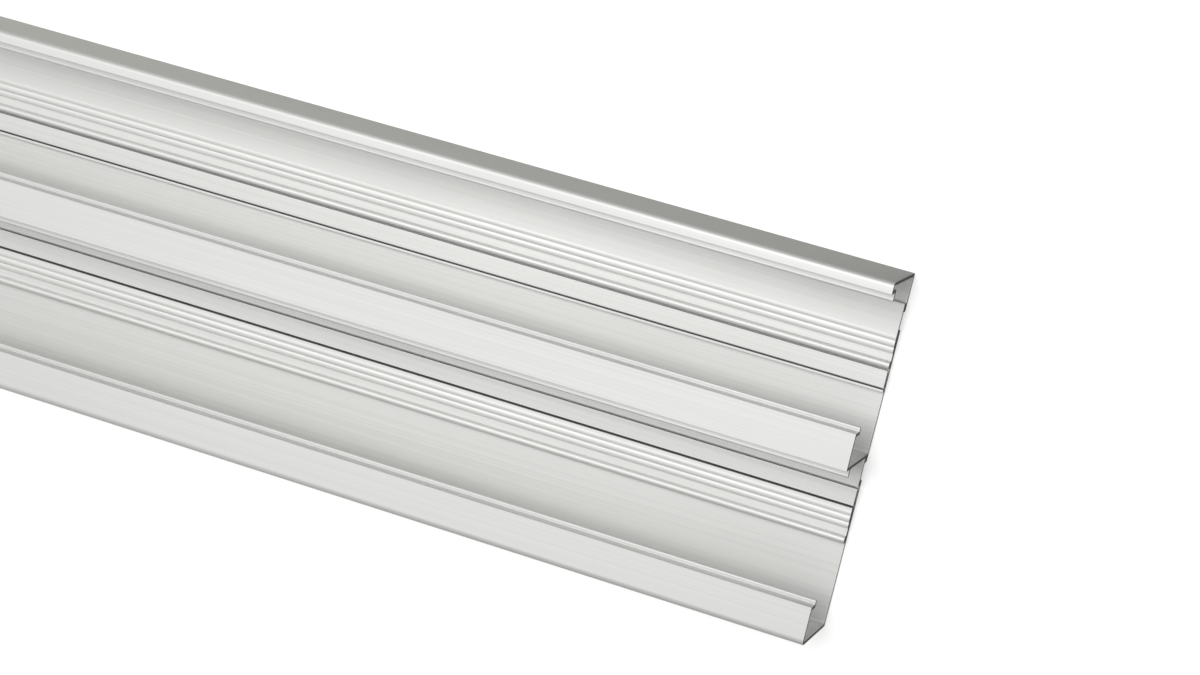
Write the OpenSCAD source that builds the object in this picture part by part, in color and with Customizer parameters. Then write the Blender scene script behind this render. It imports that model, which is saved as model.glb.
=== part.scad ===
// Two-compartment aluminium wall duct: one extruded length, without its snap-in lids.
// The duct lies on its back plate. X runs along the length, Y across the two compartments
// and Z from the wall side to the front. The origin is the middle of the back face.

/* [Duct] */
// Length of the sawn piece
duct_length = 2000; // [300:10:3000]
// Depth from the wall side to the front faces
duct_depth = 50; // [40:1:90]
// Thickness of the outer walls, the web and the flanges
wall = 1.8; // [1.4:0.1:2.6]
// Outside radius along the bottom front edge
bottom_edge_radius = 4; // [2.7:0.1:5]
// Outside radius along the top front edge
top_edge_radius = 2.7; // [2.7:0.1:4]
// Radius where the back plate meets the top wall, the bottom wall and the web
foot_radius = 1.5; // [0.5:0.1:2]

/* [Front faces] */
// Clear height of each compartment's mouth, between two front flanges
mouth_height = 75.6; // [72:0.1:100]
// Height of the front flange along the top
top_flange = 6.4; // [6:0.1:14]
// Height of the front flange between the compartments
middle_flange = 20.6; // [12:0.1:36]
// Height of the front flange along the bottom
bottom_flange = 21.8; // [10:0.1:36]

/* [Lid seats] */
// Depth of the ledge that a lid sits on, from the front face to the back of its lip
seat_depth = 9.4; // [6:0.1:12]
// Height of the lip that stands up behind a ledge
rising_lip = 2.6; // [2:0.1:6]
// Height of the lip that hangs down behind a ledge
hanging_lip = 4.8; // [2:0.1:6]
// How much thicker the rounded edge along each lip is than the lip itself
lip_swell = 0.2; // [0.2:0.1:1]

/* [Rails] */
// Distance from the top of the upper mouth down to the upper rail
upper_rail_drop = 27; // [24:0.1:28]
// Distance from the top of the lower mouth down to the lower rail
lower_rail_drop = 29.3; // [24:0.1:30]
// Height of a rail above the back plate
rail_rise = 4.8; // [4:0.1:6]
// Spacing of the ridges on a rail's grip
ridge_pitch = 3.55; // [3:0.05:4.2]
// Radius of each ridge's crown
ridge_radius = 4.2; // [2.4:0.1:5]
// Step from a rail's full height down to its lowest ridge
ridge_step = 1; // [0.5:0.1:2]
// Width of the slot between a rail's grip and its round edge
slot_width = 4.5; // [4:0.1:7]
// Height of the slot's floor above the back plate
slot_floor = 2.2; // [0.6:0.1:2.6]
// Diameter of the round edge that closes a rail's slot
rail_bead = 4.4; // [3:0.1:4.6]
// Width of the flat land that leads up to the lower rail's grip
rail_lead = 1; // [0.6:0.1:1.4]

/* [Platforms] */
// Drop from a rail's full height to the face of a platform
platform_drop = 0.2; // [0.1:0.1:1]
// Width of the platform that leads up to the upper rail
upper_platform = 17; // [12:0.1:18]
// Width of the upper platform's upper leg
upper_leg = 5; // [2:0.1:6]
// Width of the lower platform's two legs
lower_leg = 3; // [2:0.1:4]

/* [Hooked strips] */
// Width of the hooked strip beside each rail
strip_width = 9.6; // [8:0.1:10.5]
// Height of a hooked strip's face above the back plate
strip_rise = 4.2; // [3:0.1:5]
// Thickness of a hooked strip
strip_wall = 1.5; // [1:0.1:2]
// Gap between a hooked strip and the flat faces beside it
strip_gap = 1.2; // [0.8:0.1:1.6]
// Gap between the upper strip and its rail's round edge
bead_gap = 0.8; // [0.6:0.1:1.6]
// Width of the rib below the upper strip
rib_width = 1.4; // [1:0.1:2]
// Height of the rib above the back plate
rib_rise = 3; // [2:0.1:4]

/* [Hidden] */

ridge_count = 3;
// How far a foot radius runs past the faces that it joins
foot_ease = 0.05;
lip_bead = wall + lip_swell;
neck_width = 0.5 * rail_bead;
rail_width = ridge_count * ridge_pitch + slot_width + rail_bead;

lower_mouth_base = bottom_flange;
lower_mouth_top = lower_mouth_base + mouth_height;
upper_mouth_base = lower_mouth_top + middle_flange;
upper_mouth_top = upper_mouth_base + mouth_height;
duct_height = upper_mouth_top + top_flange;

upper_rail = upper_mouth_top - upper_rail_drop;
lower_rail = lower_mouth_top - lower_rail_drop;
upper_strip = upper_rail - rail_width - bead_gap;
rib = upper_strip - strip_width - strip_gap;
lower_land = lower_rail + rail_lead;
lower_strip = lower_land + strip_gap + strip_width;
platform_face = wall + rail_rise - platform_drop;

$fn = 48;

// A straight wall of the section, from y0 to y1 across and z0 to z1 in depth
module band(y0, y1, z0, z1) {
    translate([min(y0, y1), z0]) square([abs(y1 - y0), z1 - z0]);
}

// A quarter turn of wall round a front corner at y; side is 1 for the top edge and -1 for the bottom edge
module corner(y, radius, side) {
    translate([y - side * radius, duct_depth - radius])
        difference() {
            intersection() {
                circle(radius);
                translate([side > 0 ? 0 : -radius, 0]) square(radius);
            }
            circle(radius - wall);
        }
}

// A lid seat behind a flange's edge at y: the ledge and its lip; side is 1 where the lip stands up
module lid_seat(y, lip, side) {
    lip_back = duct_depth - seat_depth;
    tip = y + side * (lip - lip_bead / 2);
    band(y - side * wall, y, lip_back, duct_depth);
    band(y - side * wall, tip, lip_back, lip_back + wall);
    translate([tip, lip_back + wall / 2]) circle(d = lip_bead);
}

// One crowned ridge of a rail's grip, a pitch wide, with its top at the given depth
module ridge(y, top) {
    y0 = y - ridge_pitch / 2;
    y1 = y + ridge_pitch / 2;
    intersection() {
        translate([y, top - ridge_radius]) circle(ridge_radius);
        band(y0, y1, 0, top + ridge_radius);
    }
    band(y0, y1, 0, max(wall, top - ridge_radius));
}

// A rail on the back plate, measured down from y: ridged grip, slot and round edge
module rail(y) {
    top = wall + rail_rise;
    bead_y = y - rail_width + rail_bead / 2;
    for (i = [0 : ridge_count - 1])
        ridge(y - (i + 0.5) * ridge_pitch, top - (i == ridge_count - 1 ? ridge_step : 0));
    band(bead_y, y, wall, wall + slot_floor);
    band(bead_y - neck_width / 2, bead_y + neck_width / 2, wall, top - rail_bead / 2);
    translate([bead_y, top - rail_bead / 2]) circle(d = rail_bead);
}

// A platform that rises out of the back plate from y0 to y1
module platform(y0, y1) {
    band(y0, y1, 0, platform_face);
}

// The hollow behind a platform from y0 to y1, open to the back
module recess(y0, y1) {
    band(y0, y1, -wall, platform_face - wall);
}

// The radius at the foot of a wall whose face is at y; side is 1 where the back plate lies above the wall
module foot(y, side) {
    difference() {
        band(y, y + side * foot_radius, wall, wall + foot_radius);
        translate([y + side * foot_radius, wall + foot_radius]) circle(foot_radius + foot_ease);
    }
}

// A strip that stands off the back plate on one leg, from its free edge at y down to its leg
module hooked_strip(y) {
    face = wall + strip_rise;
    leg = y - strip_width;
    band(leg, y, face - strip_wall, face);
    band(leg, leg + strip_wall, wall, face);
}

// Back plate, top and bottom walls, and the web behind the middle flange
module walls() {
    band(0, duct_height, 0, wall);
    band(0, wall, 0, duct_depth - bottom_edge_radius);
    band(duct_height - wall, duct_height, 0, duct_depth - top_edge_radius);
    band(lower_mouth_top, lower_mouth_top + wall, 0, duct_depth);
}

// The three front flanges with their rounded outer edges
module flanges() {
    front = duct_depth - wall;
    band(bottom_edge_radius, lower_mouth_base, front, duct_depth);
    band(lower_mouth_top, upper_mouth_base, front, duct_depth);
    band(upper_mouth_top, duct_height - top_edge_radius, front, duct_depth);
    corner(0, bottom_edge_radius, -1);
    corner(duct_height, top_edge_radius, 1);
}

module lid_seats() {
    lid_seat(lower_mouth_base, rising_lip, 1);
    lid_seat(lower_mouth_top, hanging_lip, -1);
    lid_seat(upper_mouth_base, rising_lip, 1);
    lid_seat(upper_mouth_top, hanging_lip, -1);
}

module rails() {
    rail(upper_rail);
    rail(lower_rail);
}

// The strips beside the rails, and the rib that closes the groove below the upper one
module strips() {
    hooked_strip(upper_strip);
    band(rib - rib_width, rib, wall, wall + rib_rise);
    hooked_strip(lower_strip);
}

// The upper platform runs into its rail's grip, the lower one lies between the web and the lower strip
module platforms() {
    platform(upper_rail - ridge_pitch / 2, upper_rail + upper_platform);
    platform(lower_rail - ridge_pitch / 2, lower_land);
    platform(lower_strip + strip_gap, lower_mouth_top);
}

module recesses() {
    recess(upper_rail + wall, upper_rail + upper_platform - upper_leg);
    recess(lower_strip + strip_gap + lower_leg, lower_mouth_top - lower_leg);
}

module feet() {
    foot(wall, 1);
    foot(lower_mouth_top + wall, 1);
    foot(duct_height - wall, -1);
}

module section() {
    difference() {
        union() {
            walls();
            flanges();
            lid_seats();
            rails();
            strips();
            platforms();
            feet();
        }
        recesses();
    }
}

module duct_profile() {
    color("silver")
        translate([-duct_length / 2, -duct_height / 2, 0])
            rotate([90, 0, 90])
                linear_extrude(duct_length) section();
}

duct_profile();
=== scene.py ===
"""Looks for the aluminium cable duct: a satin anodised extrusion that lies on its back on a pale floor."""

import math

import bpy
from mathutils import Matrix, Vector

MM = 0.001

# Camera, in the part's frame: it looks down on the front of the duct, past the sawn end
CAMERA_EYE = Vector((1.2713, 0.3377, 1.5238))
CAMERA_TARGET = Vector((0.8536, 0.0287, 0.05))
CAMERA_ROLL = math.radians(13.291)
CAMERA_LENS_MM = 88.263
CAMERA_SENSOR_MM = 36.0
CAMERA_CLIP = (0.05, 100.0)

# Studio: a softbox above the duct, towards its top wall, and a dim dome that is brightest round its axis
KEY_PLACE = (0.54, 0.58, 1.77)
KEY_AIM = (0.60, 0.0, 0.0)
KEY_SIZE = (1.2, 1.2)
KEY_POWER = 19.2
DOME_AXIS = (-0.10, -0.10, 0.99)
DOME_TONE = (1.0, 1.0, 0.99, 1.0)
DOME_STRENGTHS = (0.06, 0.58)
DOME_COSINES = (0.0, 1.0)

# Floor: a white one to look at, and just below it one that throws light back, less so towards the sawn end
FLOOR_SIZE = 30.0
FLOOR_DEPTH = 0.05 * MM
FLOOR_TONE = (0.95, 0.95, 0.95, 1.0)
FLOOR_GLOW = 0.45
FLOOR_ROUGHNESS = 0.9
FLOOR_SPECULAR = 0.1
GLOW_TONE = (1.0, 1.0, 1.0, 1.0)
BOUNCE_DEPTH = 0.10 * MM
BOUNCE_END = 1.0
BOUNCE_SPAN = (0.25, BOUNCE_END)
BOUNCE_TONES = ((0.95, 0.95, 0.88, 1.0), (0.52, 0.52, 0.485, 1.0))
BOUNCE_GLOW = 0.10

# Finish: satin anodising with die lines along the length, painted shade in the grooves and paler edges
METALLIC = 0.50
DRAWN_TONES = ((0.79, 0.79, 0.775, 1.0), (0.85, 0.85, 0.838, 1.0))
ROUGHNESS = (0.52, 0.60)
NOISE_MIDDLE = (0.3, 0.7)
STREAK_SCALE = (2.0, 700.0, 700.0)
STREAK_DETAIL = 4.0
CLOUD_SCALE = (6.0, 25.0, 25.0)
CLOUD_DETAIL = 3.0
DIE_LINE_DEPTH = 0.05 * MM
DIE_LINE_STRENGTH = 0.05
OPENNESS_SAMPLES = 8
# Painted shade in grooves, gaps and inside corners: how far the probe looks, its openness limits and the
# darkest tone
GROOVE_SHADE_REACH = 3.0 * MM
GROOVE_SHADE_OPENNESS = (0.20, 0.72)
GROOVE_SHADE_TONE = 0.40
EDGE_REACH = 0.5 * MM
EDGE_OPENNESS = (0.35, 0.80)
EDGE_TONE = (0.90, 0.90, 0.89, 1.0)

# Sawn ends: arcs left by a round blade whose middle lay above the duct
SAW_PLANE = (0.0, 1.0, 1.0)
SAW_MIDDLE = (0.0, 0.06, 0.22)
SAW_TONES = ((0.50, 0.50, 0.49, 1.0), (0.66, 0.66, 0.65, 1.0))
SAW_ROUGHNESS = 0.50
SAW_PITCH = 0.5 * MM
SAW_DETAIL = 3.0
SAW_DEPTH = 0.06 * MM
SAW_STRENGTH = 0.3
SAW_FACING = (0.75, 0.95)

# Edges: what is sharper than the smooth angle is rounded, and the flats beside it stay flat
EDGE_ROUND = 0.2 * MM
EDGE_SEGMENTS = 2
SMOOTH_ANGLE = math.radians(35.0)
FLAT_ANGLE = math.radians(1.0)
FLAT_WEIGHT = 100
WELD_REACH = 0.002 * MM

# Mix node: the places of its two inputs and its output, for colours and for single values
MIX_SOCKETS = {"RGBA": (6, 7, 2), "FLOAT": (2, 3, 0)}
UNIT = (0.0, 1.0)


def node_maker(owner):
    """Returns two helpers that add a node to a material or world and link two sockets."""
    tree = owner.node_tree

    def add(kind, **settings):
        made = tree.nodes.new(kind)
        for name, value in settings.items():
            setattr(made, name, value)
        return made

    return add, tree.links.new


def ramped(add, link, value, limits, results):
    """Maps a value between two limits to a value between two results."""
    ramp = add("ShaderNodeMapRange")
    ramp.inputs["From Min"].default_value, ramp.inputs["From Max"].default_value = limits
    ramp.inputs["To Min"].default_value, ramp.inputs["To Max"].default_value = results
    link(value, ramp.inputs["Value"])
    return ramp.outputs["Result"]


def mixed(add, link, kind, factor, first, second):
    """Mixes two colours or two values, each given as a constant or as a socket."""
    first_place, second_place, result_place = MIX_SOCKETS[kind]
    mix = add("ShaderNodeMix", data_type=kind)
    link(factor, mix.inputs[0])
    for place, given in ((first_place, first), (second_place, second)):
        if isinstance(given, bpy.types.NodeSocket):
            link(given, mix.inputs[place])
        else:
            mix.inputs[place].default_value = given
    return mix.outputs[result_place]


def stretched_noise(add, link, coordinates, scale, detail):
    """A noise texture whose scale differs along X, Y and Z, as drawn metal's streaks do."""
    mapping = add("ShaderNodeMapping")
    mapping.inputs["Scale"].default_value = scale
    link(coordinates.outputs["Object"], mapping.inputs["Vector"])
    noise = add("ShaderNodeTexNoise")
    noise.inputs["Scale"].default_value = 1.0
    noise.inputs["Detail"].default_value = detail
    link(mapping.outputs["Vector"], noise.inputs["Vector"])
    return noise.outputs["Fac"]


def openness(add, reach, inside):
    """How open the surface is within a reach; it falls in grooves, or along edges when it looks inside."""
    probe = add("ShaderNodeAmbientOcclusion", samples=OPENNESS_SAMPLES, only_local=True, inside=inside)
    probe.inputs["Distance"].default_value = reach
    return probe.outputs["AO"]


def saw_marks(add, link, coordinates):
    """Fine uneven arcs round the middle of the saw blade."""
    flat = add("ShaderNodeVectorMath", operation="MULTIPLY")
    flat.inputs[1].default_value = SAW_PLANE
    link(coordinates.outputs["Object"], flat.inputs[0])
    radius = add("ShaderNodeVectorMath", operation="DISTANCE")
    radius.inputs[1].default_value = SAW_MIDDLE
    link(flat.outputs["Vector"], radius.inputs[0])
    marks = add("ShaderNodeTexNoise", noise_dimensions="1D")
    marks.inputs["Scale"].default_value = 1.0 / SAW_PITCH
    marks.inputs["Detail"].default_value = SAW_DETAIL
    link(radius.outputs["Value"], marks.inputs["W"])
    return marks.outputs["Fac"]


def facing_end(add, link, coordinates):
    """One on the two sawn ends and nought on the faces along the length."""
    axes = add("ShaderNodeSeparateXYZ")
    link(coordinates.outputs["Normal"], axes.inputs["Vector"])
    either_end = add("ShaderNodeMath", operation="ABSOLUTE")
    link(axes.outputs["X"], either_end.inputs[0])
    return ramped(add, link, either_end.outputs["Value"], SAW_FACING, UNIT)


def anodised_aluminium():
    """Natural anodised aluminium: pale, satin, with fine die lines along the extrusion and sawn ends, and
    shade painted into its grooves.
    """
    material = bpy.data.materials.new("anodised_aluminium")
    material.use_nodes = True
    add, link = node_maker(material)
    shader = material.node_tree.nodes["Principled BSDF"]
    shader.inputs["Metallic"].default_value = METALLIC
    coordinates = add("ShaderNodeTexCoord")

    streaks = stretched_noise(add, link, coordinates, STREAK_SCALE, STREAK_DETAIL)
    clouds = stretched_noise(add, link, coordinates, CLOUD_SCALE, CLOUD_DETAIL)
    marks = saw_marks(add, link, coordinates)
    end = facing_end(add, link, coordinates)

    drawn = mixed(add, link, "RGBA", ramped(add, link, streaks, NOISE_MIDDLE, UNIT), *DRAWN_TONES)
    edge = ramped(add, link, openness(add, EDGE_REACH, True), EDGE_OPENNESS, (1.0, 0.0))
    worn = mixed(add, link, "RGBA", edge, drawn, EDGE_TONE)
    sawn = mixed(add, link, "RGBA", ramped(add, link, marks, NOISE_MIDDLE, UNIT), *SAW_TONES)
    faced = mixed(add, link, "RGBA", end, worn, sawn)
    # Painted shade: the base colour is darkened in grooves, gaps and inside corners, where shade falls
    groove_shade = ramped(add, link, openness(add, GROOVE_SHADE_REACH, False), GROOVE_SHADE_OPENNESS, (GROOVE_SHADE_TONE, 1.0))
    groove_shaded = add("ShaderNodeVectorMath", operation="SCALE")
    link(faced, groove_shaded.inputs[0])
    link(groove_shade, groove_shaded.inputs["Scale"])
    link(groove_shaded.outputs["Vector"], shader.inputs["Base Color"])

    satin = ramped(add, link, clouds, NOISE_MIDDLE, ROUGHNESS)
    link(mixed(add, link, "FLOAT", end, satin, SAW_ROUGHNESS), shader.inputs["Roughness"])

    die_bump = add("ShaderNodeBump")
    die_bump.inputs["Strength"].default_value = DIE_LINE_STRENGTH
    die_bump.inputs["Distance"].default_value = DIE_LINE_DEPTH
    link(streaks, die_bump.inputs["Height"])
    saw_bump = add("ShaderNodeBump")
    saw_bump.inputs["Distance"].default_value = SAW_DEPTH
    link(ramped(add, link, end, UNIT, (0.0, SAW_STRENGTH)), saw_bump.inputs["Strength"])
    link(marks, saw_bump.inputs["Height"])
    link(die_bump.outputs["Normal"], saw_bump.inputs["Normal"])
    link(saw_bump.outputs["Normal"], shader.inputs["Normal"])
    return material


def ease_edges(duct):
    """Shades the arcs as curves and rounds the sharp edges a little, so that they catch the light."""
    duct.data.shade_smooth()
    weld = duct.modifiers.new("weld", "WELD")
    weld.merge_threshold = WELD_REACH
    merge = duct.modifiers.new("merge_flats", "DECIMATE")
    merge.decimate_type = "DISSOLVE"
    merge.angle_limit = FLAT_ANGLE
    edge = duct.modifiers.new("edge_round", "BEVEL")
    edge.limit_method = "ANGLE"
    edge.angle_limit = SMOOTH_ANGLE
    edge.width = EDGE_ROUND
    edge.segments = EDGE_SEGMENTS
    edge.use_clamp_overlap = False
    flat = duct.modifiers.new("flat_normals", "WEIGHTED_NORMAL")
    flat.mode = "FACE_AREA"
    flat.weight = FLAT_WEIGHT


def floor_paint(name, tone, glow):
    """A plain matt floor paint."""
    material = bpy.data.materials.new(name)
    material.use_nodes = True
    shader = material.node_tree.nodes["Principled BSDF"]
    shader.inputs["Base Color"].default_value = tone
    shader.inputs["Roughness"].default_value = FLOOR_ROUGHNESS
    shader.inputs["Specular IOR Level"].default_value = FLOOR_SPECULAR
    shader.inputs["Emission Color"].default_value = GLOW_TONE
    shader.inputs["Emission Strength"].default_value = glow
    return material


def bounce_paint():
    """A matt grey that darkens along the duct towards the sawn end, as its light on the top wall does."""
    material = floor_paint("bounce_paint", BOUNCE_TONES[0], BOUNCE_GLOW)
    add, link = node_maker(material)
    place = add("ShaderNodeSeparateXYZ")
    link(add("ShaderNodeTexCoord").outputs["Object"], place.inputs["Vector"])
    along = ramped(add, link, place.outputs["X"], BOUNCE_SPAN, UNIT)
    shader = material.node_tree.nodes["Principled BSDF"]
    link(mixed(add, link, "RGBA", along, *BOUNCE_TONES), shader.inputs["Base Color"])
    return material


def make_plane(name, material, depth, end):
    """A level plane from the far edge of the floor to the given end along X."""
    half = FLOOR_SIZE / 2
    corners = [(-half, -half, 0.0), (end, -half, 0.0), (end, half, 0.0), (-half, half, 0.0)]
    mesh = bpy.data.meshes.new(name)
    mesh.from_pydata(corners, [], [(0, 1, 2, 3)])
    mesh.materials.append(material)
    plane = bpy.data.objects.new(name, mesh)
    plane.location.z = -depth
    bpy.context.scene.collection.objects.link(plane)
    return plane


def make_floor():
    """A white floor to look at, and a greyer one just below it that throws light back at the duct."""
    white = floor_paint("floor_paint", FLOOR_TONE, FLOOR_GLOW)
    seen = make_plane("floor", white, FLOOR_DEPTH, FLOOR_SIZE / 2)
    seen.visible_glossy = False
    seen.visible_diffuse = False
    bounce = make_plane("floor_bounce", bounce_paint(), BOUNCE_DEPTH, BOUNCE_END)
    bounce.visible_camera = False


def make_camera():
    """The photograph's view: the camera looks at its target with the duct's +Y up, then rolls."""
    data = bpy.data.cameras.new("camera")
    data.sensor_width = CAMERA_SENSOR_MM
    data.lens = CAMERA_LENS_MM
    data.clip_start, data.clip_end = CAMERA_CLIP
    camera = bpy.data.objects.new("camera", data)
    forward = (CAMERA_TARGET - CAMERA_EYE).normalized()
    right = forward.cross(Vector((0, 1, 0))).normalized()
    up = right.cross(forward)
    turn = Matrix((right, up, -forward)).transposed().to_4x4()
    camera.matrix_world = Matrix.Translation(CAMERA_EYE) @ turn @ Matrix.Rotation(CAMERA_ROLL, 4, "Z")
    bpy.context.scene.collection.objects.link(camera)
    bpy.context.scene.camera = camera


def make_key_light():
    """The softbox: a large area light that faces its aim."""
    data = bpy.data.lights.new("key", "AREA")
    data.shape = "RECTANGLE"
    data.size, data.size_y = KEY_SIZE
    data.energy = KEY_POWER
    light = bpy.data.objects.new("key", data)
    light.location = KEY_PLACE
    light.rotation_euler = (Vector(KEY_AIM) - Vector(KEY_PLACE)).to_track_quat("-Z", "Y").to_euler()
    bpy.context.scene.collection.objects.link(light)


def make_world():
    """A dome of light whose brightness falls off with the angle from its axis."""
    world = bpy.data.worlds.new("studio")
    world.use_nodes = True
    add, link = node_maker(world)
    background = world.node_tree.nodes["Background"]
    background.inputs["Color"].default_value = DOME_TONE
    along_axis = add("ShaderNodeVectorMath", operation="DOT_PRODUCT")
    along_axis.inputs[1].default_value = Vector(DOME_AXIS).normalized()
    link(add("ShaderNodeTexCoord").outputs["Generated"], along_axis.inputs[0])
    strength = ramped(add, link, along_axis.outputs["Value"], DOME_COSINES, DOME_STRENGTHS)
    strength.node.interpolation_type = "SMOOTHSTEP"
    link(strength, background.inputs["Strength"])
    bpy.context.scene.world = world


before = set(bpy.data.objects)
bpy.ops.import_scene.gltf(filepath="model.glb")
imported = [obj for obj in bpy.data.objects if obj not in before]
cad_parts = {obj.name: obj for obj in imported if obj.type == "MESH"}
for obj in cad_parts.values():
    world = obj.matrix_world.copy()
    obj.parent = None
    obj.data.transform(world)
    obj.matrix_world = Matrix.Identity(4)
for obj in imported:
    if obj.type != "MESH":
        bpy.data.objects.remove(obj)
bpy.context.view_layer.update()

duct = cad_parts["duct_profile"]
duct.data.materials.clear()
duct.data.materials.append(anodised_aluminium())
ease_edges(duct)

make_floor()
make_camera()
make_world()
make_key_light()
bpy.context.scene.view_settings.view_transform = "Standard"
